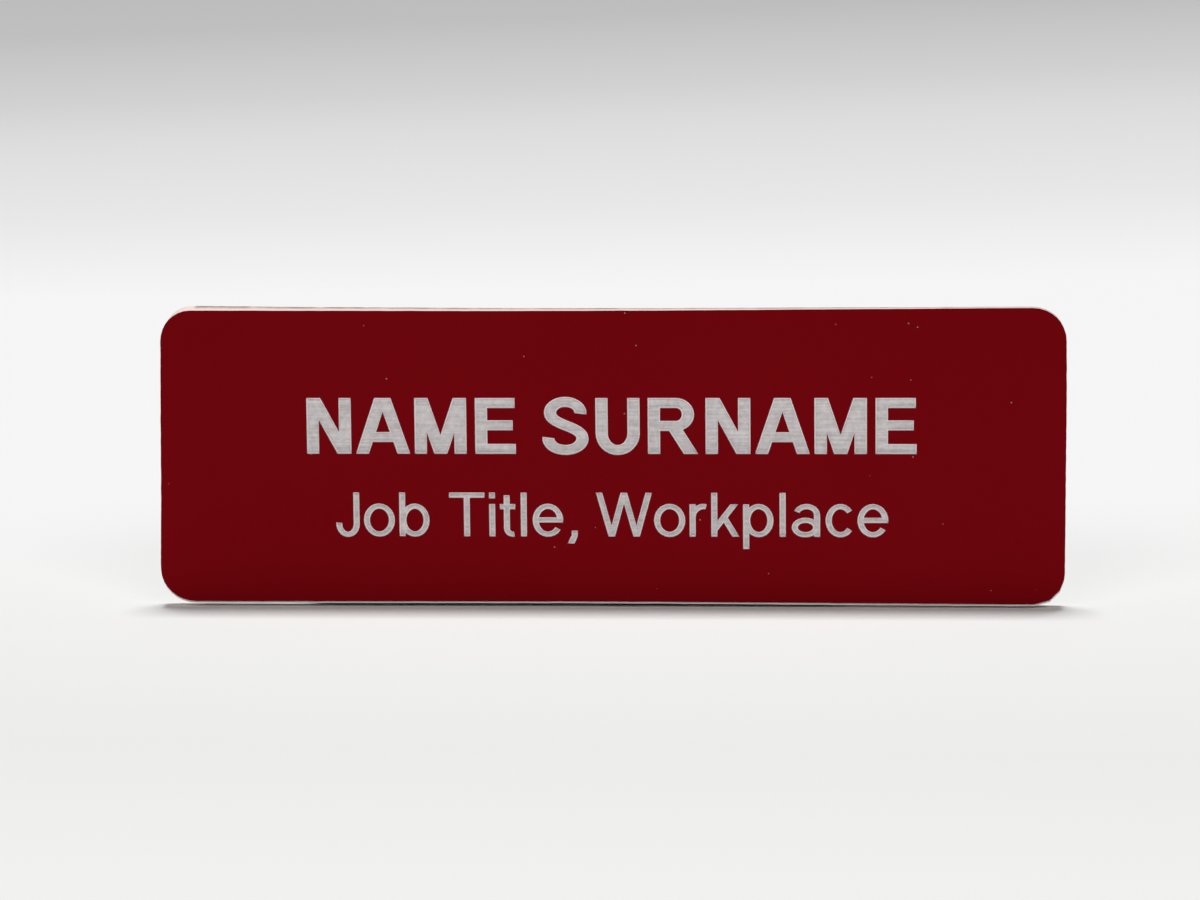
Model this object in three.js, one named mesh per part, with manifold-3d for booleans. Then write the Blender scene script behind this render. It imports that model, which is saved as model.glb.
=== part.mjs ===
// Name badge: a two-ply engraved plate, red over white, with a magnet bar glued to its back.
// Millimetres, +Z up. The front faces -Y, and the badge stands on the lower edge of its bar,
// with the origin on the surface below the middle of the whole badge.

import * as THREE from "three";
import { mergeVertices } from "three/addons/utils/BufferGeometryUtils.js";
import Module from "manifold-3d";

// Plate
const plateWidth = 76;
const plateHeight = 25;
const capThickness = 0.15;
const coreThickness = 1.45;
const bareEdge = 0.18; // strip of the core left bare along the bottom, under the cap
const cornerSize = 2.9; // the rounded corners are shares of this
const glueGap = 0.02; // film between pieces that are bonded

// Magnet bar
const barLength = 45;
const barHeight = 13;
const barThickness = 5.2;
const barCorner = 2.2;
const barEdgeRound = 0.6;
const barOffset = -3; // middle of the bar from the middle of the plate
const plateLift = 0.35; // the bar's lower edge stands this far below the plate's
const barFacets = 4; // in each rounded corner and edge of the bar

// Lettering, cut through the cap and a little way into the core
const letterDepth = 0.12; // below the cap
const cutterOverrun = 0.5; // the cutting shape starts this far in front of the plate
const grid = 0.001; // strokes are drawn on this grid, so that flush edges are truly flush
const finest = 0.003; // detail smaller than this is smoothed away where strokes meet
const nameLine = {
  text: "NAME SURNAME",
  capHeight: 4.77,
  stem: 1.04,
  bar: 0.87,
  baseline: 12.8, // above the plate's lower edge
  track: -0.09, // extra space between letters
  arcStep: 11, // degrees in each facet of a round stroke
};
const titleLine = {
  text: "Job Title, Workplace",
  capHeight: 3.77,
  stem: 0.52,
  bar: 0.47,
  baseline: 5.75,
  track: -0.06,
  arcStep: 15,
};
const xHeight = 0.74; // small letters' height, as a share of the cap height
const wordSpace = 0.36; // share of the cap height

// Each corner's size as a share of cornerSize, and the cuts that round it, in degrees from its
// first edge. One corner was trimmed by hand, in a few flat cuts.
const evenCuts = [0, 11, 23, 34, 45, 56, 67, 79, 90];
const handCuts = [0, 30, 57, 79, 90];
const corners = [
  { across: 1, up: -1, start: -90, size: 0.86, cuts: handCuts },
  { across: 1, up: 1, start: 0, size: 0.93, cuts: evenCuts },
  { across: -1, up: 1, start: 90, size: 0.9, cuts: evenCuts },
  { across: -1, up: -1, start: 180, size: 0.94, cuts: evenCuts },
];

// Letters as strokes. Lengths across are shares of the letter's width, heights are shares of the cap
// height, and width and side (the space kept on each side) are shares of the cap height too.
// A stem stands at left or right, a bar lies at low or high, and a slant has level ends and
// runs from x, y to toX, toY. A flush slant is cut upright where it meets the letter's left side.
// A bend is part of an oval ring in a box, turning from and to in degrees, with a straight leg at
// either end that reaches legFrom or legTo: a height where the ring is upright there, and otherwise
// a place across. A wave is two bends joined by a leaning spine.
const letters = {
  N: {
    width: 0.79,
    side: 0.095,
    strokes: [
      { kind: "stem", left: 0, low: 0, high: 1 },
      { kind: "stem", right: 1, low: 0, high: 1 },
      { kind: "slant", x: 0.97, y: 0, toX: 0.03, toY: 1 },
    ],
  },
  A: {
    width: 0.97,
    side: 0,
    strokes: [
      { kind: "slant", x: 0.01, y: 0, toX: 0.46, toY: 1 },
      { kind: "slant", x: 0.99, y: 0, toX: 0.54, toY: 1 },
      { kind: "bar", left: 0.2, right: 0.8, low: 0.21 },
    ],
  },
  M: {
    width: 0.92,
    side: 0.095,
    strokes: [
      { kind: "stem", left: 0, low: 0, high: 1 },
      { kind: "stem", right: 1, low: 0, high: 1 },
      { kind: "slant", x: 0.5, y: 0, toX: 0.02, toY: 1 },
      { kind: "slant", x: 0.5, y: 0, toX: 0.98, toY: 1 },
    ],
  },
  E: {
    width: 0.72,
    side: 0.075,
    strokes: [
      { kind: "stem", left: 0, low: 0, high: 1 },
      { kind: "bar", left: 0, right: 0.98, high: 1 },
      { kind: "bar", left: 0, right: 0.93, low: 0.42 },
      { kind: "bar", left: 0, right: 1, low: 0 },
    ],
  },
  S: {
    width: 0.82,
    side: 0.05,
    strokes: [
      {
        kind: "wave",
        upper: { left: 0.04, right: 0.96, low: 0.45, high: 1.02, from: -6, to: 180 },
        lower: { left: 0, right: 1, low: -0.02, high: 0.57, from: 0, to: -186 },
      },
    ],
  },
  U: {
    width: 0.78,
    side: 0.09,
    strokes: [
      {
        kind: "bend",
        left: 0,
        right: 1,
        low: -0.02,
        high: 0.76,
        from: 180,
        to: 360,
        legFrom: 1,
        legTo: 1,
      },
    ],
  },
  R: {
    width: 0.87,
    side: 0.07,
    strokes: [
      { kind: "stem", left: 0, low: 0, high: 1 },
      {
        kind: "bend",
        left: 0.2,
        right: 0.94,
        low: 0.41,
        high: 1,
        from: -90,
        to: 90,
        legFrom: 0.1,
        legTo: 0.1,
      },
      { kind: "slant", x: 1, y: 0, toX: 0.52, toY: 0.5 },
    ],
  },
  J: {
    width: 0.53,
    side: 0.06,
    strokes: [
      { kind: "bend", left: 0, right: 1, low: -0.02, high: 0.58, from: 172, to: 360, legTo: 1 },
    ],
  },
  T: {
    width: 0.8,
    side: 0.03,
    strokes: [
      { kind: "bar", left: 0, right: 1, high: 1 },
      { kind: "slant", x: 0.5, y: 0, toX: 0.5, toY: 1 },
    ],
  },
  W: {
    width: 1.25,
    side: 0.01,
    strokes: [
      { kind: "slant", x: 0.25, y: 0, toX: 0, toY: 1 },
      { kind: "slant", x: 0.25, y: 0, toX: 0.5, toY: 1 },
      { kind: "slant", x: 0.75, y: 0, toX: 0.5, toY: 1 },
      { kind: "slant", x: 0.75, y: 0, toX: 1, toY: 1 },
    ],
  },
  a: {
    width: 0.66,
    side: 0.06,
    strokes: [
      { kind: "bend", left: 0.05, right: 0.96, low: 0.25, high: 0.75, from: 0, to: 160, legFrom: 0 },
      { kind: "bend", left: 0, right: 0.93, low: -0.01, high: 0.44, from: 0, to: 360 },
    ],
  },
  b: {
    width: 0.68,
    side: 0.065,
    strokes: [
      { kind: "stem", left: 0, low: 0, high: 1 },
      { kind: "bend", left: 0.03, right: 1, low: -0.01, high: 0.75, from: 0, to: 360 },
    ],
  },
  c: {
    width: 0.62,
    side: 0.05,
    strokes: [{ kind: "bend", left: 0, right: 1.07, low: -0.01, high: 0.75, from: 38, to: 322 }],
  },
  e: {
    width: 0.69,
    side: 0.055,
    strokes: [
      { kind: "bend", left: 0, right: 1, low: -0.01, high: 0.75, from: 0, to: 325 },
      { kind: "bar", left: 0.1, right: 0.99, low: 0.315 },
    ],
  },
  i: {
    width: 0.14,
    side: 0.085,
    strokes: [
      { kind: "stem", left: 0, low: 0, high: xHeight },
      { kind: "stem", left: 0, low: 0.86, high: 1 },
    ],
  },
  k: {
    width: 0.62,
    side: 0.04,
    strokes: [
      { kind: "stem", left: 0, low: 0, high: 1 },
      { kind: "slant", x: -0.05, y: 0.13, toX: 0.93, toY: xHeight, flush: true },
      { kind: "slant", x: 1, y: 0, toX: 0.45, toY: 0.44 },
    ],
  },
  l: { width: 0.14, side: 0.085, strokes: [{ kind: "stem", left: 0, low: 0, high: 1 }] },
  o: {
    width: 0.7,
    side: 0.05,
    strokes: [{ kind: "bend", left: 0, right: 1, low: -0.01, high: 0.75, from: 0, to: 360 }],
  },
  p: {
    width: 0.68,
    side: 0.065,
    strokes: [
      { kind: "stem", left: 0, low: -0.28, high: xHeight },
      { kind: "bend", left: 0.03, right: 1, low: -0.01, high: 0.75, from: 0, to: 360 },
    ],
  },
  r: {
    width: 0.4,
    side: 0.06,
    strokes: [
      { kind: "stem", left: 0, low: 0, high: xHeight },
      { kind: "bend", left: 0, right: 1.6, low: 0.13, high: 0.75, from: 78, to: 180 },
    ],
  },
  t: {
    width: 0.37,
    side: 0.03,
    strokes: [
      { kind: "bar", left: 0, right: 0.95, high: xHeight },
      {
        kind: "bend",
        left: 0.24,
        right: 1.36,
        low: -0.01,
        high: 0.37,
        from: 180,
        to: 282,
        legFrom: 0.94,
      },
    ],
  },
  ",": {
    width: 0.22,
    side: 0.06,
    strokes: [
      { kind: "stem", right: 1, low: 0, high: 0.14 },
      { kind: "slant", x: 0, y: -0.16, toX: 0.92, toY: 0.01 },
    ],
  },
};

// Where the layers lie, from front to back
const depth = capThickness + glueGap + coreThickness + glueGap + barThickness;
const frontFace = -depth / 2;
const coreFront = frontFace + capThickness + glueGap;
const coreBack = coreFront + coreThickness;
const barFront = coreBack + glueGap;

const redPlastic = new THREE.MeshStandardMaterial({ color: 0x8a0a17, roughness: 0.42, metalness: 0 });
const whitePlastic = new THREE.MeshStandardMaterial({ color: 0xe4ded8, roughness: 0.55, metalness: 0 });
const blackCasing = new THREE.MeshStandardMaterial({ color: 0x1b1a1a, roughness: 0.5, metalness: 0.2 });

const wasm = await Module();
wasm.setup();

// A closed mesh as a solid that can be joined and cut
function solidOf(geometry) {
  const bare = geometry.clone();
  bare.deleteAttribute("normal");
  bare.deleteAttribute("uv");
  const merged = mergeVertices(bare, 1e-4);
  const vertProperties = merged.attributes.position.array;
  const triVerts = new Uint32Array(merged.index.array);
  return new wasm.Manifold(new wasm.Mesh({ numProp: 3, vertProperties, triVerts }));
}

// A solid as geometry again
function geometryOf(solid) {
  const mesh = solid.getMesh();
  const indexed = new THREE.BufferGeometry();
  indexed.setAttribute("position", new THREE.BufferAttribute(mesh.vertProperties, mesh.numProp));
  indexed.setIndex(new THREE.BufferAttribute(mesh.triVerts, 1));
  const geometry = indexed.toNonIndexed();
  geometry.computeVertexNormals();
  return geometry;
}

// A flat shape, drawn as seen from the front, given its thickness from y = front to y = back
function slab(shape, front, back, curveSegments = 1) {
  const geometry = new THREE.ExtrudeGeometry(shape, {
    depth: back - front,
    bevelEnabled: false,
    curveSegments,
  });
  geometry.rotateX(Math.PI / 2);
  geometry.translate(0, back, 0);
  return geometry;
}

// The plate's outline, with its lower edge at the given height above the plate's own
function plateOutline(lowerEdge) {
  const points = corners.flatMap(({ across, up, start, size, cuts }) => {
    const radius = cornerSize * size;
    const x = across * (plateWidth / 2 - radius);
    const z = plateLift + (up > 0 ? plateHeight - radius : radius + lowerEdge);
    return cuts.map((turn) => {
      const angle = THREE.MathUtils.degToRad(start + turn);
      return new THREE.Vector2(x + radius * Math.cos(angle), z + radius * Math.sin(angle));
    });
  });
  return new THREE.Shape(points);
}

// A closed outline from its points, on the drawing grid
function outline(points) {
  const onGrid = (value) => Math.round(value / grid) * grid;
  return points.map(([x, y]) => new THREE.Vector2(onGrid(x), onGrid(y)));
}

// One stroke of a letter of the given width, in millimetres, with the letter's lower left at 0, 0
function strokeShape(stroke, width, line) {
  if (stroke.kind === "stem") return stemShape(stroke, width, line);
  if (stroke.kind === "bar") return barShape(stroke, width, line);
  if (stroke.kind === "slant") return slantShape(stroke, width, line);
  if (stroke.kind === "wave") return ribbonShape(wavePath(stroke, width, line), false, line);
  const ring = Math.abs(stroke.to - stroke.from) === 360;
  return ribbonShape(bendPath(stroke, width, line), ring, line);
}

// An upright stroke
function stemShape({ left, right, low, high }, width, { capHeight, stem }) {
  const start = right === undefined ? left * width : right * width - stem;
  const bottom = low * capHeight;
  const top = high * capHeight;
  const points = [
    [start, bottom],
    [start + stem, bottom],
    [start + stem, top],
    [start, top],
  ];
  return new THREE.Shape(outline(points));
}

// A level stroke
function barShape({ left, right, low, high }, width, { capHeight, bar }) {
  const bottom = high === undefined ? low * capHeight : high * capHeight - bar;
  const points = [
    [left * width, bottom],
    [right * width, bottom],
    [right * width, bottom + bar],
    [left * width, bottom + bar],
  ];
  return new THREE.Shape(outline(points));
}

// A leaning stroke with level ends, whose middle runs between the letter's outer stems
function slantShape({ x, y, toX, toY, flush }, width, { capHeight, stem }) {
  const middleAt = (share) => stem / 2 + share * (width - stem);
  const rise = (toY - y) * capHeight;
  const run = middleAt(toX) - middleAt(x);
  const half = (stem * Math.hypot(rise, run)) / rise / 2;
  const low = y * capHeight;
  const lowLeft = middleAt(x) - half;
  const flushAt = low - (lowLeft * rise) / run;
  const start = flush ? [[0, flushAt], [0, low]] : [[lowLeft, low]];
  const points = [
    ...start,
    [middleAt(x) + half, low],
    [middleAt(toX) + half, low + rise],
    [middleAt(toX) - half, low + rise],
  ];
  return new THREE.Shape(outline(points));
}

// The middle of a bend, as points with the stroke's heading, and of its straight legs
function bendPath({ left, right, low, high, from, to, legFrom, legTo }, width, line) {
  const { capHeight, stem, bar, arcStep } = line;
  const radiusX = ((right - left) * width - stem) / 2;
  const radiusY = ((high - low) * capHeight - bar) / 2;
  const centreX = ((left + right) * width) / 2;
  const centreY = ((low + high) * capHeight) / 2;
  const facets = Math.max(2, Math.round(Math.abs(to - from) / arcStep));
  const way = Math.sign(to - from);
  const path = Array.from({ length: facets + 1 }, (_, step) => {
    const angle = THREE.MathUtils.degToRad(from + ((to - from) * step) / facets);
    const heading = new THREE.Vector2(-radiusX * Math.sin(angle), radiusY * Math.cos(angle));
    return {
      x: centreX + radiusX * Math.cos(angle),
      y: centreY + radiusY * Math.sin(angle),
      heading: heading.multiplyScalar(way).normalize(),
    };
  });
  const legEnd = (point, reach) => {
    const upright = Math.abs(point.heading.y) > Math.abs(point.heading.x);
    return upright ? { ...point, y: reach * capHeight } : { ...point, x: reach * width };
  };
  if (legFrom !== undefined) path.unshift(legEnd(path[0], legFrom));
  if (legTo !== undefined) path.push(legEnd(path.at(-1), legTo));
  return path;
}

// The middle of a wave: the upper bend, the spine that leans from its end to the start of the lower
// bend, upright at both, and the lower bend
function wavePath({ upper, lower }, width, line) {
  const first = bendPath(upper, width, line);
  const last = bendPath(lower, width, line);
  const start = first.at(-1);
  const end = last[0];
  const middle = (start.y + end.y) / 2;
  const spine = new THREE.CubicBezierCurve(
    new THREE.Vector2(start.x, start.y),
    new THREE.Vector2(start.x, middle),
    new THREE.Vector2(end.x, middle),
    new THREE.Vector2(end.x, end.y),
  );
  const facets = Math.round(180 / line.arcStep);
  const between = Array.from({ length: facets - 1 }, (_, step) => {
    const along = (step + 1) / facets;
    const { x, y } = spine.getPoint(along);
    return { x, y, heading: spine.getTangent(along) };
  });
  return [...first, ...between, ...last];
}

// A band along a path, as wide as a stem where it is upright and as a bar where it is level
function ribbonShape(path, ring, { stem, bar }) {
  const sideAt = ({ x, y, heading }, side) => [
    x + (side * heading.y * stem) / 2,
    y - (side * heading.x * bar) / 2,
  ];
  const stretch = ring ? path.slice(0, -1) : path;
  const rightSide = outline(stretch.map((point) => sideAt(point, 1)));
  const leftSide = outline(stretch.map((point) => sideAt(point, -1))).reverse();
  if (!ring) return new THREE.Shape([...rightSide, ...leftSide]);
  const shape = new THREE.Shape(rightSide);
  shape.holes.push(new THREE.Path(leftSide));
  return shape;
}

// Each letter of a line with its width, and where its left edge lies from the start of the line
function placedLetters({ text, capHeight, track }) {
  let reached = 0;
  const placed = [];
  for (const mark of text) {
    if (mark === " ") {
      reached += wordSpace * capHeight;
      continue;
    }
    const { width, side, strokes } = letters[mark];
    const left = reached + side * capHeight;
    placed.push({ strokes, left, width: width * capHeight });
    reached = left + (width + side) * capHeight + track;
  }
  return placed;
}

// The solid that cuts one line of letters, centred on the plate
function lineCutter(line) {
  const placed = placedLetters(line);
  const last = placed.at(-1);
  const start = (placed[0].left + last.left + last.width) / 2;
  const solids = placed.flatMap(({ strokes, left, width }) =>
    strokes.map((stroke) => {
      const shape = strokeShape(stroke, width, line);
      const solid = slab(shape, frontFace - cutterOverrun, coreFront + letterDepth);
      solid.translate(left - start, 0, plateLift + line.baseline);
      return solidOf(solid);
    }),
  );
  return solids.reduce((joined, solid) => joined.add(solid)).simplify(finest);
}

// The magnet bar's outline, set in by the given amount all round
function barOutline(inset) {
  const halfLength = barLength / 2 - inset;
  const radius = barCorner - inset;
  const quarter = Math.PI / 2;
  const centres = [
    [halfLength - radius, barHeight - inset - radius],
    [radius - halfLength, barHeight - inset - radius],
    [radius - halfLength, inset + radius],
    [halfLength - radius, inset + radius],
  ];
  return centres.flatMap(([x, z], corner) =>
    Array.from({ length: barFacets + 1 }, (_, step) => {
      const angle = quarter * (corner + step / barFacets);
      return [x + radius * Math.cos(angle), z + radius * Math.sin(angle)];
    }),
  );
}

// The bar: flat against the plate, with its back edges rounded over
function magnetBar() {
  const rings = [{ inset: 0, y: barFront }];
  for (let step = 0; step <= barFacets; step += 1) {
    const angle = ((Math.PI / 2) * step) / barFacets;
    const y = barFront + barThickness - barEdgeRound * (1 - Math.sin(angle));
    rings.push({ inset: barEdgeRound * (1 - Math.cos(angle)), y });
  }
  const loops = rings.map(({ inset, y }) => barOutline(inset).map(([x, z]) => [x + barOffset, y, z]));
  const count = loops[0].length;
  const positions = loops.flat(2);
  const index = [];
  for (let ring = 0; ring < loops.length - 1; ring += 1) {
    for (let side = 0; side < count; side += 1) {
      const here = ring * count + side;
      const next = ring * count + ((side + 1) % count);
      index.push(here, here + count, next, next, here + count, next + count);
    }
  }
  const back = (loops.length - 1) * count;
  for (let side = 1; side < count - 1; side += 1) {
    index.push(0, side, side + 1);
    index.push(back, back + side + 1, back + side);
  }
  const geometry = new THREE.BufferGeometry();
  geometry.setAttribute("position", new THREE.Float32BufferAttribute(positions, 3));
  geometry.setIndex(index);
  const faceted = geometry.toNonIndexed();
  faceted.computeVertexNormals();
  return faceted;
}

// A named mesh
function piece(name, geometry, material) {
  const mesh = new THREE.Mesh(geometry, material.clone());
  mesh.name = name;
  return mesh;
}

const badge = new THREE.Group();
const cutter = lineCutter(nameLine).add(lineCutter(titleLine));

// The core takes the pockets under the letters
const coreBlank = slab(plateOutline(0), coreFront, coreBack);
const core = solidOf(coreBlank).subtract(cutter).simplify(finest);
badge.add(piece("core_ply", geometryOf(core), whitePlastic));

// The cap is cut through, which leaves the inside of each closed letter as an island of its own
const capBlank = slab(plateOutline(bareEdge), frontFace, frontFace + capThickness);
const capPieces = solidOf(capBlank).subtract(cutter).simplify(finest).decompose();
const leftmost = (solid) => solid.boundingBox().min[0];
const [cap, ...islands] = capPieces.sort((one, other) => other.volume() - one.volume());
islands.sort((one, other) => leftmost(one) - leftmost(other));
badge.add(piece("cap_ply", geometryOf(cap), redPlastic));
islands.forEach((island, place) => {
  badge.add(piece(`letter_island_${place + 1}`, geometryOf(island), redPlastic));
});

badge.add(piece("magnet_bar", magnetBar(), blackCasing));

export default badge;
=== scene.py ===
"""Name badge: an engraved red and white plastic plate that stands on the magnet bar on its back."""

import math

import bmesh
import bpy
from mathutils import Matrix, Vector, noise


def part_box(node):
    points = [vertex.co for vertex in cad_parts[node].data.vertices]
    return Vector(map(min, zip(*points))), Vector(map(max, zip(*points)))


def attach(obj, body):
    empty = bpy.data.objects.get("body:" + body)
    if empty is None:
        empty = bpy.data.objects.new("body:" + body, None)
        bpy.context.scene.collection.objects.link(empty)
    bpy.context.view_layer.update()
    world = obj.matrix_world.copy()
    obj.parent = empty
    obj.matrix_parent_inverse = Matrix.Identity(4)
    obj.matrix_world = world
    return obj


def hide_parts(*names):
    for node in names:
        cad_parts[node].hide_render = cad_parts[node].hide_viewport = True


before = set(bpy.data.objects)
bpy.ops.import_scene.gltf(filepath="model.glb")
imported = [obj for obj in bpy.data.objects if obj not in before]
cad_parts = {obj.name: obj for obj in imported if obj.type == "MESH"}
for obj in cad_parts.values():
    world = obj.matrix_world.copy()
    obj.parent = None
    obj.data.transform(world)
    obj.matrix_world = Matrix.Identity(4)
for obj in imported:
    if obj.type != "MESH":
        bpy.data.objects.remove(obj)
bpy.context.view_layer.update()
scene = bpy.context.scene

# The view
# A phone held a little above the badge, with the right end slightly nearer, and
# framed so that the plate lies just right of and below the middle.
MM = 0.001
PHOTO_WIDTH = 1200
CAMERA_DISTANCE = 400 * MM
CAMERA_ELEVATION = math.radians(9.25)
CAMERA_TURN = math.radians(3.54)
CAMERA_ROLL = math.radians(-0.53)
FOCAL_PIXELS = 4763.2
SENSOR_WIDTH = 36
PLATE_RIGHT_OF_MIDDLE = 10.7  # pixels of the photograph
PLATE_BELOW_MIDDLE = 7.7
NEAREST_SEEN = 10 * MM
FARTHEST_SEEN = 10000 * MM

core_low, core_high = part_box("core_ply")
cap_low, cap_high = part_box("cap_ply")
face_middle = Vector((0, cap_low.y, (core_low.z + core_high.z) / 2))
to_camera = Vector(
    (
        math.sin(CAMERA_TURN) * math.cos(CAMERA_ELEVATION),
        -math.cos(CAMERA_TURN) * math.cos(CAMERA_ELEVATION),
        math.sin(CAMERA_ELEVATION),
    )
)
to_right = Vector((math.cos(CAMERA_TURN), math.sin(CAMERA_TURN), 0))
facing = Matrix((to_right, to_camera.cross(to_right), to_camera)).transposed().to_4x4()
camera = bpy.data.objects.new("camera", bpy.data.cameras.new("camera"))
camera.matrix_world = (
    Matrix.Translation(face_middle + to_camera * CAMERA_DISTANCE)
    @ facing
    @ Matrix.Rotation(CAMERA_ROLL, 4, "Z")
)
camera.data.sensor_width = SENSOR_WIDTH
camera.data.lens = FOCAL_PIXELS * SENSOR_WIDTH / PHOTO_WIDTH
camera.data.shift_x = -PLATE_RIGHT_OF_MIDDLE / PHOTO_WIDTH
camera.data.shift_y = PLATE_BELOW_MIDDLE / PHOTO_WIDTH
camera.data.clip_start = NEAREST_SEEN
camera.data.clip_end = FARTHEST_SEEN
scene.collection.objects.link(camera)
scene.camera = camera
scene.view_settings.view_transform = "Standard"

# The stage
# A white table, lit by a wide lamp that hangs just behind the badge and by two windows in
# front of it. Its colour is painted shade: it greys off with distance and a little towards the
# front.


def linear(code):
    """An sRGB hex colour as the linear RGBA that Blender's sockets take."""
    channels = [int(code[place : place + 2], 16) / 255 for place in (1, 3, 5)]
    curve = [c / 12.92 if c <= 0.04045 else ((c + 0.055) / 1.055) ** 2.4 for c in channels]
    return (*curve, 1.0)


def add_node(tree, kind, inputs=None, **settings):
    """A node with its settings, and each input set to a value or linked to a socket."""
    node = tree.nodes.new(kind)
    for name, value in settings.items():
        setattr(node, name, value)
    for name, value in (inputs or {}).items():
        if isinstance(value, bpy.types.NodeSocket):
            tree.links.new(value, node.inputs[name])
        else:
            node.inputs[name].default_value = value
    return node


def new_material(name):
    """A material with its node tree, its principled shader and its object coordinates."""
    material = bpy.data.materials.new(name)
    material.use_nodes = True
    tree = material.node_tree
    shader = tree.nodes["Principled BSDF"]
    place = add_node(tree, "ShaderNodeTexCoord").outputs["Object"]
    return material, tree, shader, place


def mix_colours(tree, target, factor, low, high):
    """Link a blend of two sRGB colours to a socket, as the factor goes from 0 to 1."""
    mix = add_node(
        tree,
        "ShaderNodeMix",
        {"Factor": factor, "A": linear(low), "B": linear(high)},
        data_type="RGBA",
    )
    tree.links.new(mix.outputs["Result"], target)


def new_piece(name, mesh_in_progress, materials):
    """An object at the origin from a finished bmesh."""
    mesh = bpy.data.meshes.new(name)
    mesh_in_progress.to_mesh(mesh)
    mesh_in_progress.free()
    if "custom_normal" in mesh.attributes:
        mesh.attributes.remove(mesh.attributes["custom_normal"])
    for material in materials:
        mesh.materials.append(material)
    piece = bpy.data.objects.new(name, mesh)
    scene.collection.objects.link(piece)
    return piece


TABLE_RADIUS = 2000 * MM
TABLE_SIDES = 96
# Painted shade on the table: its slant, where its painted falloff begins and ends, and its greys
TABLE_SHADE_LEAN = -0.8  # per metre: the left greys off a little nearer than the right
TABLE_START = -100 * MM
TABLE_END = 750 * MM
TABLE_PAINTED_SHADE_GREYS = {  # from TABLE_START, 0, to TABLE_END, 1
    0.00: "#efefee",
    0.05: "#ebecea",
    0.17: "#f6f7f6",
    0.37: "#fafafa",
    0.49: "#eeeeee",
    0.65: "#e5e5e5",
    0.75: "#dbdbdb",
    1.00: "#cccccc",
}

table_top = bmesh.new()
bmesh.ops.create_circle(table_top, cap_ends=True, radius=TABLE_RADIUS, segments=TABLE_SIDES)
# White table: a dead matt white, so that it shows the shadows and no reflection, with painted shade
# that greys it off with distance and a little towards the front
table_painted_shade, tree, shader, place = new_material("white table")
parts = add_node(tree, "ShaderNodeSeparateXYZ", {"Vector": place})
lean = add_node(
    tree,
    "ShaderNodeMath",
    {0: parts.outputs["X"], 1: TABLE_SHADE_LEAN, 2: 1.0},
    operation="MULTIPLY_ADD",
)
depth = add_node(
    tree,
    "ShaderNodeMath",
    {0: parts.outputs["Y"], 1: lean.outputs["Value"]},
    operation="MULTIPLY",
)
painted_falloff = add_node(
    tree,
    "ShaderNodeMapRange",
    {"Value": depth.outputs["Value"], "From Min": TABLE_START, "From Max": TABLE_END},
)
ramp = add_node(tree, "ShaderNodeValToRGB", {"Fac": painted_falloff.outputs["Result"]})
stops = ramp.color_ramp.elements
for position, grey in TABLE_PAINTED_SHADE_GREYS.items():
    stop = stops[0] if position == 0 else stops[-1] if position == 1 else stops.new(position)
    stop.color = linear(grey)
tree.links.new(ramp.outputs["Color"], shader.inputs["Base Color"])
shader.inputs["Roughness"].default_value = 0.9
shader.inputs["Specular IOR Level"].default_value = 0.0
table = new_piece("table", table_top, [table_painted_shade])

LAMPS = {  # millimetres and watts
    "lamp above": {"place": (0, 320, 3000), "size": (900, 580), "power": 71},
    "left window": {"place": (-400, -1000, 700), "size": (600, 500), "power": 2.6},
    "right window": {"place": (400, -1000, 700), "size": (600, 500), "power": 2.6},
}
for name, row in LAMPS.items():
    lamp = bpy.data.objects.new(name, bpy.data.lights.new(name, "AREA"))
    lamp.data.shape = "RECTANGLE"
    lamp.data.size, lamp.data.size_y = Vector(row["size"]) * MM
    lamp.data.energy = row["power"]
    lamp.location = Vector(row["place"]) * MM
    lamp.rotation_euler = lamp.location.to_track_quat("Z", "Y").to_euler()
    scene.collection.objects.link(lamp)

scene.world = bpy.data.worlds.new("room")
scene.world.use_nodes = True
sky = scene.world.node_tree.nodes["Background"]
sky.inputs["Color"].default_value = linear("#e9e9ea")
sky.inputs["Strength"].default_value = 0.08

# Core ply
# The white ABS core of the engraving sheet. The cutter that went round each letter leaves
# sloping sides, and the raster pass a ribbed floor. The plate was sawn, so its edges are dirty
# and the top one is a little out of square.
WELD = 0.0005 * MM  # joins the corners of the frame's loose triangles
POCKET_DEPTH = 0.12 * MM
RIM_WIDTH = 0.11 * MM
RIM_LONGEST = 0.16 * MM  # so that it doesn't run out at sharp notches
LINE_PITCH = 0.2 * MM  # the real pitch is about 0.12 mm, too fine to show in the render
RIB_LENGTH = 6.67 * MM
CHALK_GRAIN = 0.455 * MM
SATIN_GRAIN = 0.333 * MM
SMUT_PATCH = 1.43 * MM
SMUT_BEGINS = -35.2 * MM
SMUT_FULL = -34.9 * MM
CLEAN_DEPTH = 0.25  # share of the core's thickness, from the front
FLOOR, RIM, SAWN, BARE = range(4)
SIDEWAYS = 0.5  # a side's normal has less than this along Y
ALONG_Y = 0.9  # a front's normal, or an edge from front to back, has more
CORNER = 3  # mm from an edge of the plate, within which its vertices are moved
EDGE_CUTS = 75
SAW_WAVE = 0.02  # mm
SAW_WAVES_PER_MM = 1.7
OUT_OF_TRUE = {  # mm outward, at places in mm along each side
    "top": ((-34, -0.02), (-10, -0.08), (3, -0.065), (34, 0.11)),
    "bottom": ((-34, 0.03), (-3, -0.025), (10, 0.02), (34, 0.14)),
    "left": ((4, 0.28), (10, 0.12), (13, 0.07), (18, -0.025), (23, -0.13)),
    "right": ((3, 0.05), (13, 0.1), (18, 0.125), (23, 0.09)),
    "top of back": ((-35, 0.2), (-26, 0.12), (-5, 0.035), (35, -0.09)),
}


def along_table(table, place):
    """The value at a place in a table of (place, value) pairs, straight between them."""
    for (low, low_value), (high, high_value) in zip(table, table[1:]):
        if place <= high:
            part = max(0, (place - low) / (high - low))
            return low_value + (high_value - low_value) * part
    return table[-1][1]


def near(place, edge):
    """1 at an edge of the plate, falling to 0 within the size of a corner."""
    return max(0, 1 - abs(place - edge) / CORNER)


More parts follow.
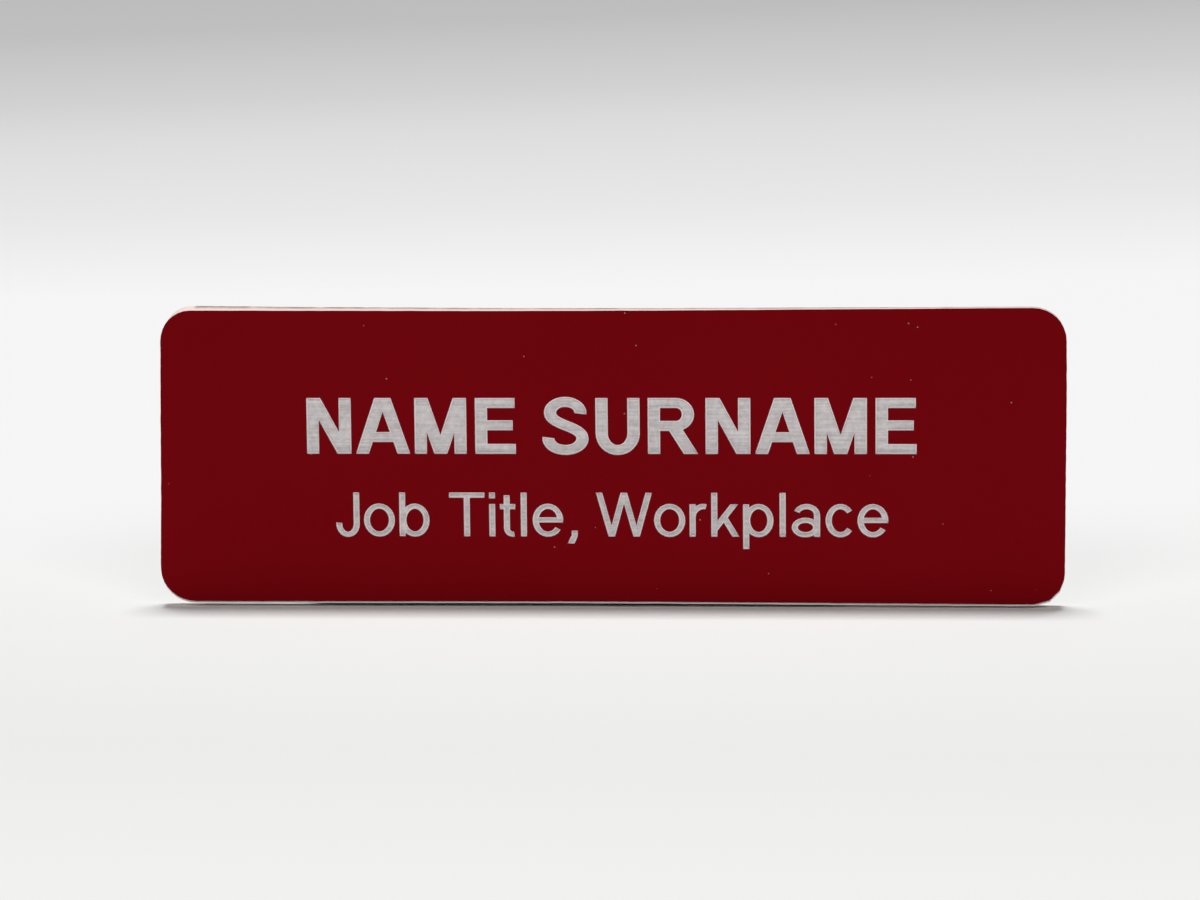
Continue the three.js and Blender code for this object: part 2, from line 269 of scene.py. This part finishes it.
def refill(ply, old, material_index):
    """Replace faces by fresh, flat triangles within the same outline, and return those."""
    bmesh.ops.delete(ply, geom=old, context="FACES")
    bmesh.ops.remove_doubles(ply, verts=ply.verts, dist=WELD)
    border = [edge for edge in ply.edges if edge.is_boundary]
    filled = bmesh.ops.triangle_fill(ply, edges=border, normal=(0, -1, 0), use_beauty=True)
    fresh = [face for face in filled["geom"] if isinstance(face, bmesh.types.BMFace)]
    for face in fresh:
        face.material_index = material_index
    return fresh


def hand_cut(ply):
    """Give a ply of the plate the slightly untrue, wavy sides that hand sawing leaves."""

    def is_side(edge, how_many):
        sides = [face for face in edge.link_faces if abs(face.normal.y) < SIDEWAYS]
        return len(sides) == how_many and edge.calc_length() > CORNER * MM

    diagonals = [edge for edge in ply.edges if is_side(edge, 2)]
    bmesh.ops.dissolve_edges(ply, edges=diagonals, use_verts=False)
    long_edges = [edge for edge in ply.edges if is_side(edge, 1)]
    bmesh.ops.subdivide_edges(ply, edges=long_edges, cuts=EDGE_CUTS, use_grid_fill=True)
    for vert in ply.verts:
        x, y, z = vert.co / MM
        wave = SAW_WAVE * noise.noise(Vector((x, 0, z)) * SAW_WAVES_PER_MM)
        top = near(z, core_high.z / MM)
        bottom = near(z, core_low.z / MM)
        left = near(x, core_low.x / MM)
        right = near(x, core_high.x / MM)
        z += top * (along_table(OUT_OF_TRUE["top"], x) + wave)
        z -= bottom * (along_table(OUT_OF_TRUE["bottom"], x) + wave)
        x -= left * (along_table(OUT_OF_TRUE["left"], z) + wave)
        x += right * (along_table(OUT_OF_TRUE["right"], z) + wave)
        if y * MM > core_high.y - WELD:
            z += top * along_table(OUT_OF_TRUE["top of back"], x)
        vert.co = Vector((x, y, z)) * MM
    depths = [vert.co.y for vert in ply.verts]
    for plane in (min(depths), max(depths)):
        flat = [
            face
            for face in ply.faces
            if all(abs(vert.co.y - plane) < WELD for vert in face.verts)
        ]
        refill(ply, flat, flat[0].material_index)
    bmesh.ops.recalc_face_normals(ply, faces=ply.faces)
    for face in ply.faces:
        face.smooth = False


core = bmesh.new()
core.from_mesh(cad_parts["core_ply"].data)
bmesh.ops.remove_doubles(core, verts=core.verts, dist=WELD)
front = core_low.y
back = core_high.y
pocket_floor = front + POCKET_DEPTH
for face in core.faces:
    face.smooth = False
    face.material_index = SAWN if abs(face.normal.y) < SIDEWAYS else BARE
    # The core's front faces take the slopes' pure white, which is painted light on the bare strip
    # below the red
    if face.normal.y < -ALONG_Y:
        face.material_index = RIM
pockets = [
    face
    for face in core.faces
    if front + WELD < max(vert.co.y for vert in face.verts) < pocket_floor + WELD
]
floors = refill(core, pockets, FLOOR)
rims = bmesh.ops.inset_region(
    core, faces=floors, thickness=RIM_WIDTH, use_boundary=True, use_even_offset=True
)["faces"]
for face in rims:
    face.material_index = RIM
inner = {vert for face in floors for vert in face.verts}
for edge in {edge for face in rims for edge in face.edges}:
    if len(inner.intersection(edge.verts)) == 1:
        upper, lower = sorted(edge.verts, key=lambda vert: vert in inner)
        slope = lower.co - upper.co
        lower.co = upper.co + slope * min(1, RIM_LONGEST / slope.length)
for vert in inner:
    vert.co.y = pocket_floor
refill(core, floors, FLOOR)
hand_cut(core)

# Raster-cut white ABS: chalky and greyish, with the fine level ribs of the cutter's passes
cut_abs, tree, shader, place = new_material("raster-cut white ABS")
along = add_node(
    tree,
    "ShaderNodeMapping",
    {"Vector": place, "Scale": (1 / RIB_LENGTH, 0, 1 / LINE_PITCH)},
)
ribs = add_node(
    tree,
    "ShaderNodeTexNoise",
    {"Vector": along.outputs["Vector"], "Scale": 1.0, "Detail": 1.0, "Roughness": 0.5},
)
mottle = add_node(
    tree,
    "ShaderNodeTexNoise",
    {"Vector": place, "Scale": 1 / CHALK_GRAIN, "Detail": 3.0, "Roughness": 0.6},
)
wear = add_node(
    tree,
    "ShaderNodeMath",
    {0: ribs.outputs["Fac"], 1: mottle.outputs["Fac"]},
    operation="ADD",
)
tone = add_node(
    tree,
    "ShaderNodeMapRange",
    {"Value": wear.outputs["Value"], "From Min": 0.75, "From Max": 1.25},
)
mix_colours(tree, shader.inputs["Base Color"], tone.outputs["Result"], "#cbc7c7", "#ede8e8")
rib_bump = add_node(
    tree,
    "ShaderNodeBump",
    {"Height": ribs.outputs["Fac"], "Strength": 0.5, "Distance": 0.015 * MM},
)
tree.links.new(rib_bump.outputs["Normal"], shader.inputs["Normal"])
shader.inputs["Roughness"].default_value = 0.7

# Cutter-sloped white ABS: the smooth burnished slope round each letter and the bare front strip of
# the core below the red, painted pure white, lighter than the rest of the white ABS, as painted
# light
slope_abs_painted_light, tree, shader, place = new_material("cutter-sloped white ABS")
shader.inputs["Base Color"].default_value = linear("#ffffff")
shader.inputs["Roughness"].default_value = 0.35

# Sawn white ABS: pinkish cream, with a patchy brown smut line along the back of the edges
sawn_abs, tree, shader, place = new_material("sawn white ABS")
parts = add_node(tree, "ShaderNodeSeparateXYZ", {"Vector": place})
smut_noise = add_node(
    tree,
    "ShaderNodeTexNoise",
    {"Vector": place, "Scale": 1 / SMUT_PATCH, "Detail": 4.0, "Roughness": 0.65},
)
patches = add_node(
    tree,
    "ShaderNodeMapRange",
    {"Value": smut_noise.outputs["Fac"], "From Min": 0.15, "From Max": 0.6},
)
smut_front = front + CLEAN_DEPTH * (back - front)
through = add_node(
    tree,
    "ShaderNodeMapRange",
    {"Value": parts.outputs["Y"], "From Min": smut_front, "From Max": back},
)
beyond_clean_end = add_node(
    tree,
    "ShaderNodeMapRange",
    {"Value": parts.outputs["X"], "From Min": SMUT_BEGINS, "From Max": SMUT_FULL},
)
line = add_node(
    tree,
    "ShaderNodeMath",
    {0: through.outputs["Result"], 1: beyond_clean_end.outputs["Result"]},
    operation="MULTIPLY",
)
smut = add_node(
    tree,
    "ShaderNodeMath",
    {0: line.outputs["Value"], 1: patches.outputs["Result"]},
    operation="MULTIPLY",
)
mix_colours(tree, shader.inputs["Base Color"], smut.outputs["Value"], "#f9e4dc", "#7f6a5a")
shader.inputs["Roughness"].default_value = 0.65

# Bare white ABS: the moulded surface of the sheet's back, with a faint satin grain
bare_abs, tree, shader, place = new_material("bare white ABS")
grain = add_node(
    tree,
    "ShaderNodeTexNoise",
    {"Vector": place, "Scale": 1 / SATIN_GRAIN, "Detail": 3.0},
)
grain_bump = add_node(
    tree,
    "ShaderNodeBump",
    {"Height": grain.outputs["Fac"], "Strength": 0.3, "Distance": 0.02 * MM},
)
mix_colours(tree, shader.inputs["Base Color"], grain.outputs["Fac"], "#d8d2ce", "#eae5e1")
tree.links.new(grain_bump.outputs["Normal"], shader.inputs["Normal"])
shader.inputs["Roughness"].default_value = 0.45

core_piece = new_piece("white_core", core, [cut_abs, slope_abs_painted_light, sawn_abs, bare_abs])
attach(core_piece, "root")
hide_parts("core_ply")

# Red cap
# The thin satin red ABS skin that is bonded to the core and cut away at the letters, which
# leaves small islands inside the closed ones. A little dust lies on it.
DUST_SPACING = 2.0 * MM
DUST_SIZE = 0.07 * MM
DUST_STRENGTH = 0.7
MOTTLE_SIZE = 16.7 * MM
CAP_GRAIN = 0.2 * MM

# Satin red ABS: a deep, even red with a soft sheen, a very fine grain and a few pale specks
red_abs, tree, shader, place = new_material("satin red ABS")
mottle = add_node(
    tree,
    "ShaderNodeTexNoise",
    {"Vector": place, "Scale": 1 / MOTTLE_SIZE, "Detail": 3.0},
)
mottled = add_node(
    tree,
    "ShaderNodeMix",
    {"Factor": mottle.outputs["Fac"], "A": linear("#76070e"), "B": linear("#7c0912")},
    data_type="RGBA",
)
dust = add_node(tree, "ShaderNodeTexVoronoi", {"Vector": place, "Scale": 1 / DUST_SPACING})
speck = add_node(
    tree,
    "ShaderNodeMapRange",
    {
        "Value": dust.outputs["Distance"],
        "From Min": 0.5 * DUST_SIZE / DUST_SPACING,
        "From Max": DUST_SIZE / DUST_SPACING,
        "To Min": DUST_STRENGTH,
        "To Max": 0.0,
    },
)
dusty = add_node(
    tree,
    "ShaderNodeMix",
    {
        "Factor": speck.outputs["Result"],
        "A": mottled.outputs["Result"],
        "B": linear("#c9a9a4"),
    },
    data_type="RGBA",
)
tree.links.new(dusty.outputs["Result"], shader.inputs["Base Color"])
grain = add_node(
    tree,
    "ShaderNodeTexNoise",
    {"Vector": place, "Scale": 1 / CAP_GRAIN, "Detail": 2.0},
)
red_bump = add_node(
    tree,
    "ShaderNodeBump",
    {"Height": grain.outputs["Fac"], "Strength": 0.15, "Distance": 0.01 * MM},
)
tree.links.new(red_bump.outputs["Normal"], shader.inputs["Normal"])
shader.inputs["Roughness"].default_value = 0.55
shader.inputs["Specular IOR Level"].default_value = 0.25
shader.inputs["Specular Tint"].default_value = linear("#b00010")

islands = sorted(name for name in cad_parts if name.startswith("letter_island"))
for name in ["cap_ply", *islands]:
    skin = bmesh.new()
    skin.from_mesh(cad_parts[name].data)
    bmesh.ops.remove_doubles(skin, verts=skin.verts, dist=WELD)
    if name == "cap_ply":
        hand_cut(skin)
    piece_name = name.replace("cap_ply", "red_cap").replace("letter_", "red_")
    piece = new_piece(piece_name, skin, [red_abs])
    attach(piece, "root")
    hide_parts(name)

# Magnet bar
# A black plastic-cased bar magnet, glued to the back of the plate with its lower edge just
# below the plate's, so that the badge stands on it.
CORNER_RADIUS = 2.2 * MM
EDGE_RADIUS = 0.6 * MM
CASE_GRAIN = 0.4 * MM

bar_low, bar_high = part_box("magnet_bar")
bar = bmesh.new()
bmesh.ops.create_cube(bar, size=1)
bmesh.ops.scale(bar, vec=bar_high - bar_low, verts=bar.verts)
bmesh.ops.translate(bar, vec=(bar_low + bar_high) / 2, verts=bar.verts)
corner_edges = [
    edge
    for edge in bar.edges
    if abs((edge.verts[0].co - edge.verts[1].co).normalized().y) > ALONG_Y
]
bmesh.ops.bevel(
    bar,
    geom=corner_edges,
    offset=CORNER_RADIUS,
    offset_type="OFFSET",
    segments=12,
    profile=0.5,
    affect="EDGES",
    material=-1,
)
rear_edges = [
    edge for edge in bar.edges if all(abs(vert.co.y - bar_high.y) < WELD for vert in edge.verts)
]
bmesh.ops.bevel(
    bar,
    geom=rear_edges,
    offset=EDGE_RADIUS,
    offset_type="OFFSET",
    segments=6,
    profile=0.5,
    affect="EDGES",
    material=-1,
)
for face in bar.faces:
    face.smooth = True

# Moulded black ABS: nearly black, with the dull sheen and fine grain of its mould
black_abs, tree, shader, place = new_material("moulded black ABS")
grain = add_node(
    tree,
    "ShaderNodeTexNoise",
    {"Vector": place, "Scale": 1 / CASE_GRAIN, "Detail": 3.0},
)
grain_bump = add_node(
    tree,
    "ShaderNodeBump",
    {"Height": grain.outputs["Fac"], "Strength": 0.4, "Distance": 0.02 * MM},
)
mix_colours(tree, shader.inputs["Base Color"], grain.outputs["Fac"], "#151414", "#242222")
tree.links.new(grain_bump.outputs["Normal"], shader.inputs["Normal"])
shader.inputs["Roughness"].default_value = 0.5

bar_piece = new_piece("black_magnet_bar", bar, [black_abs])
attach(bar_piece, "root")
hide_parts("magnet_bar")
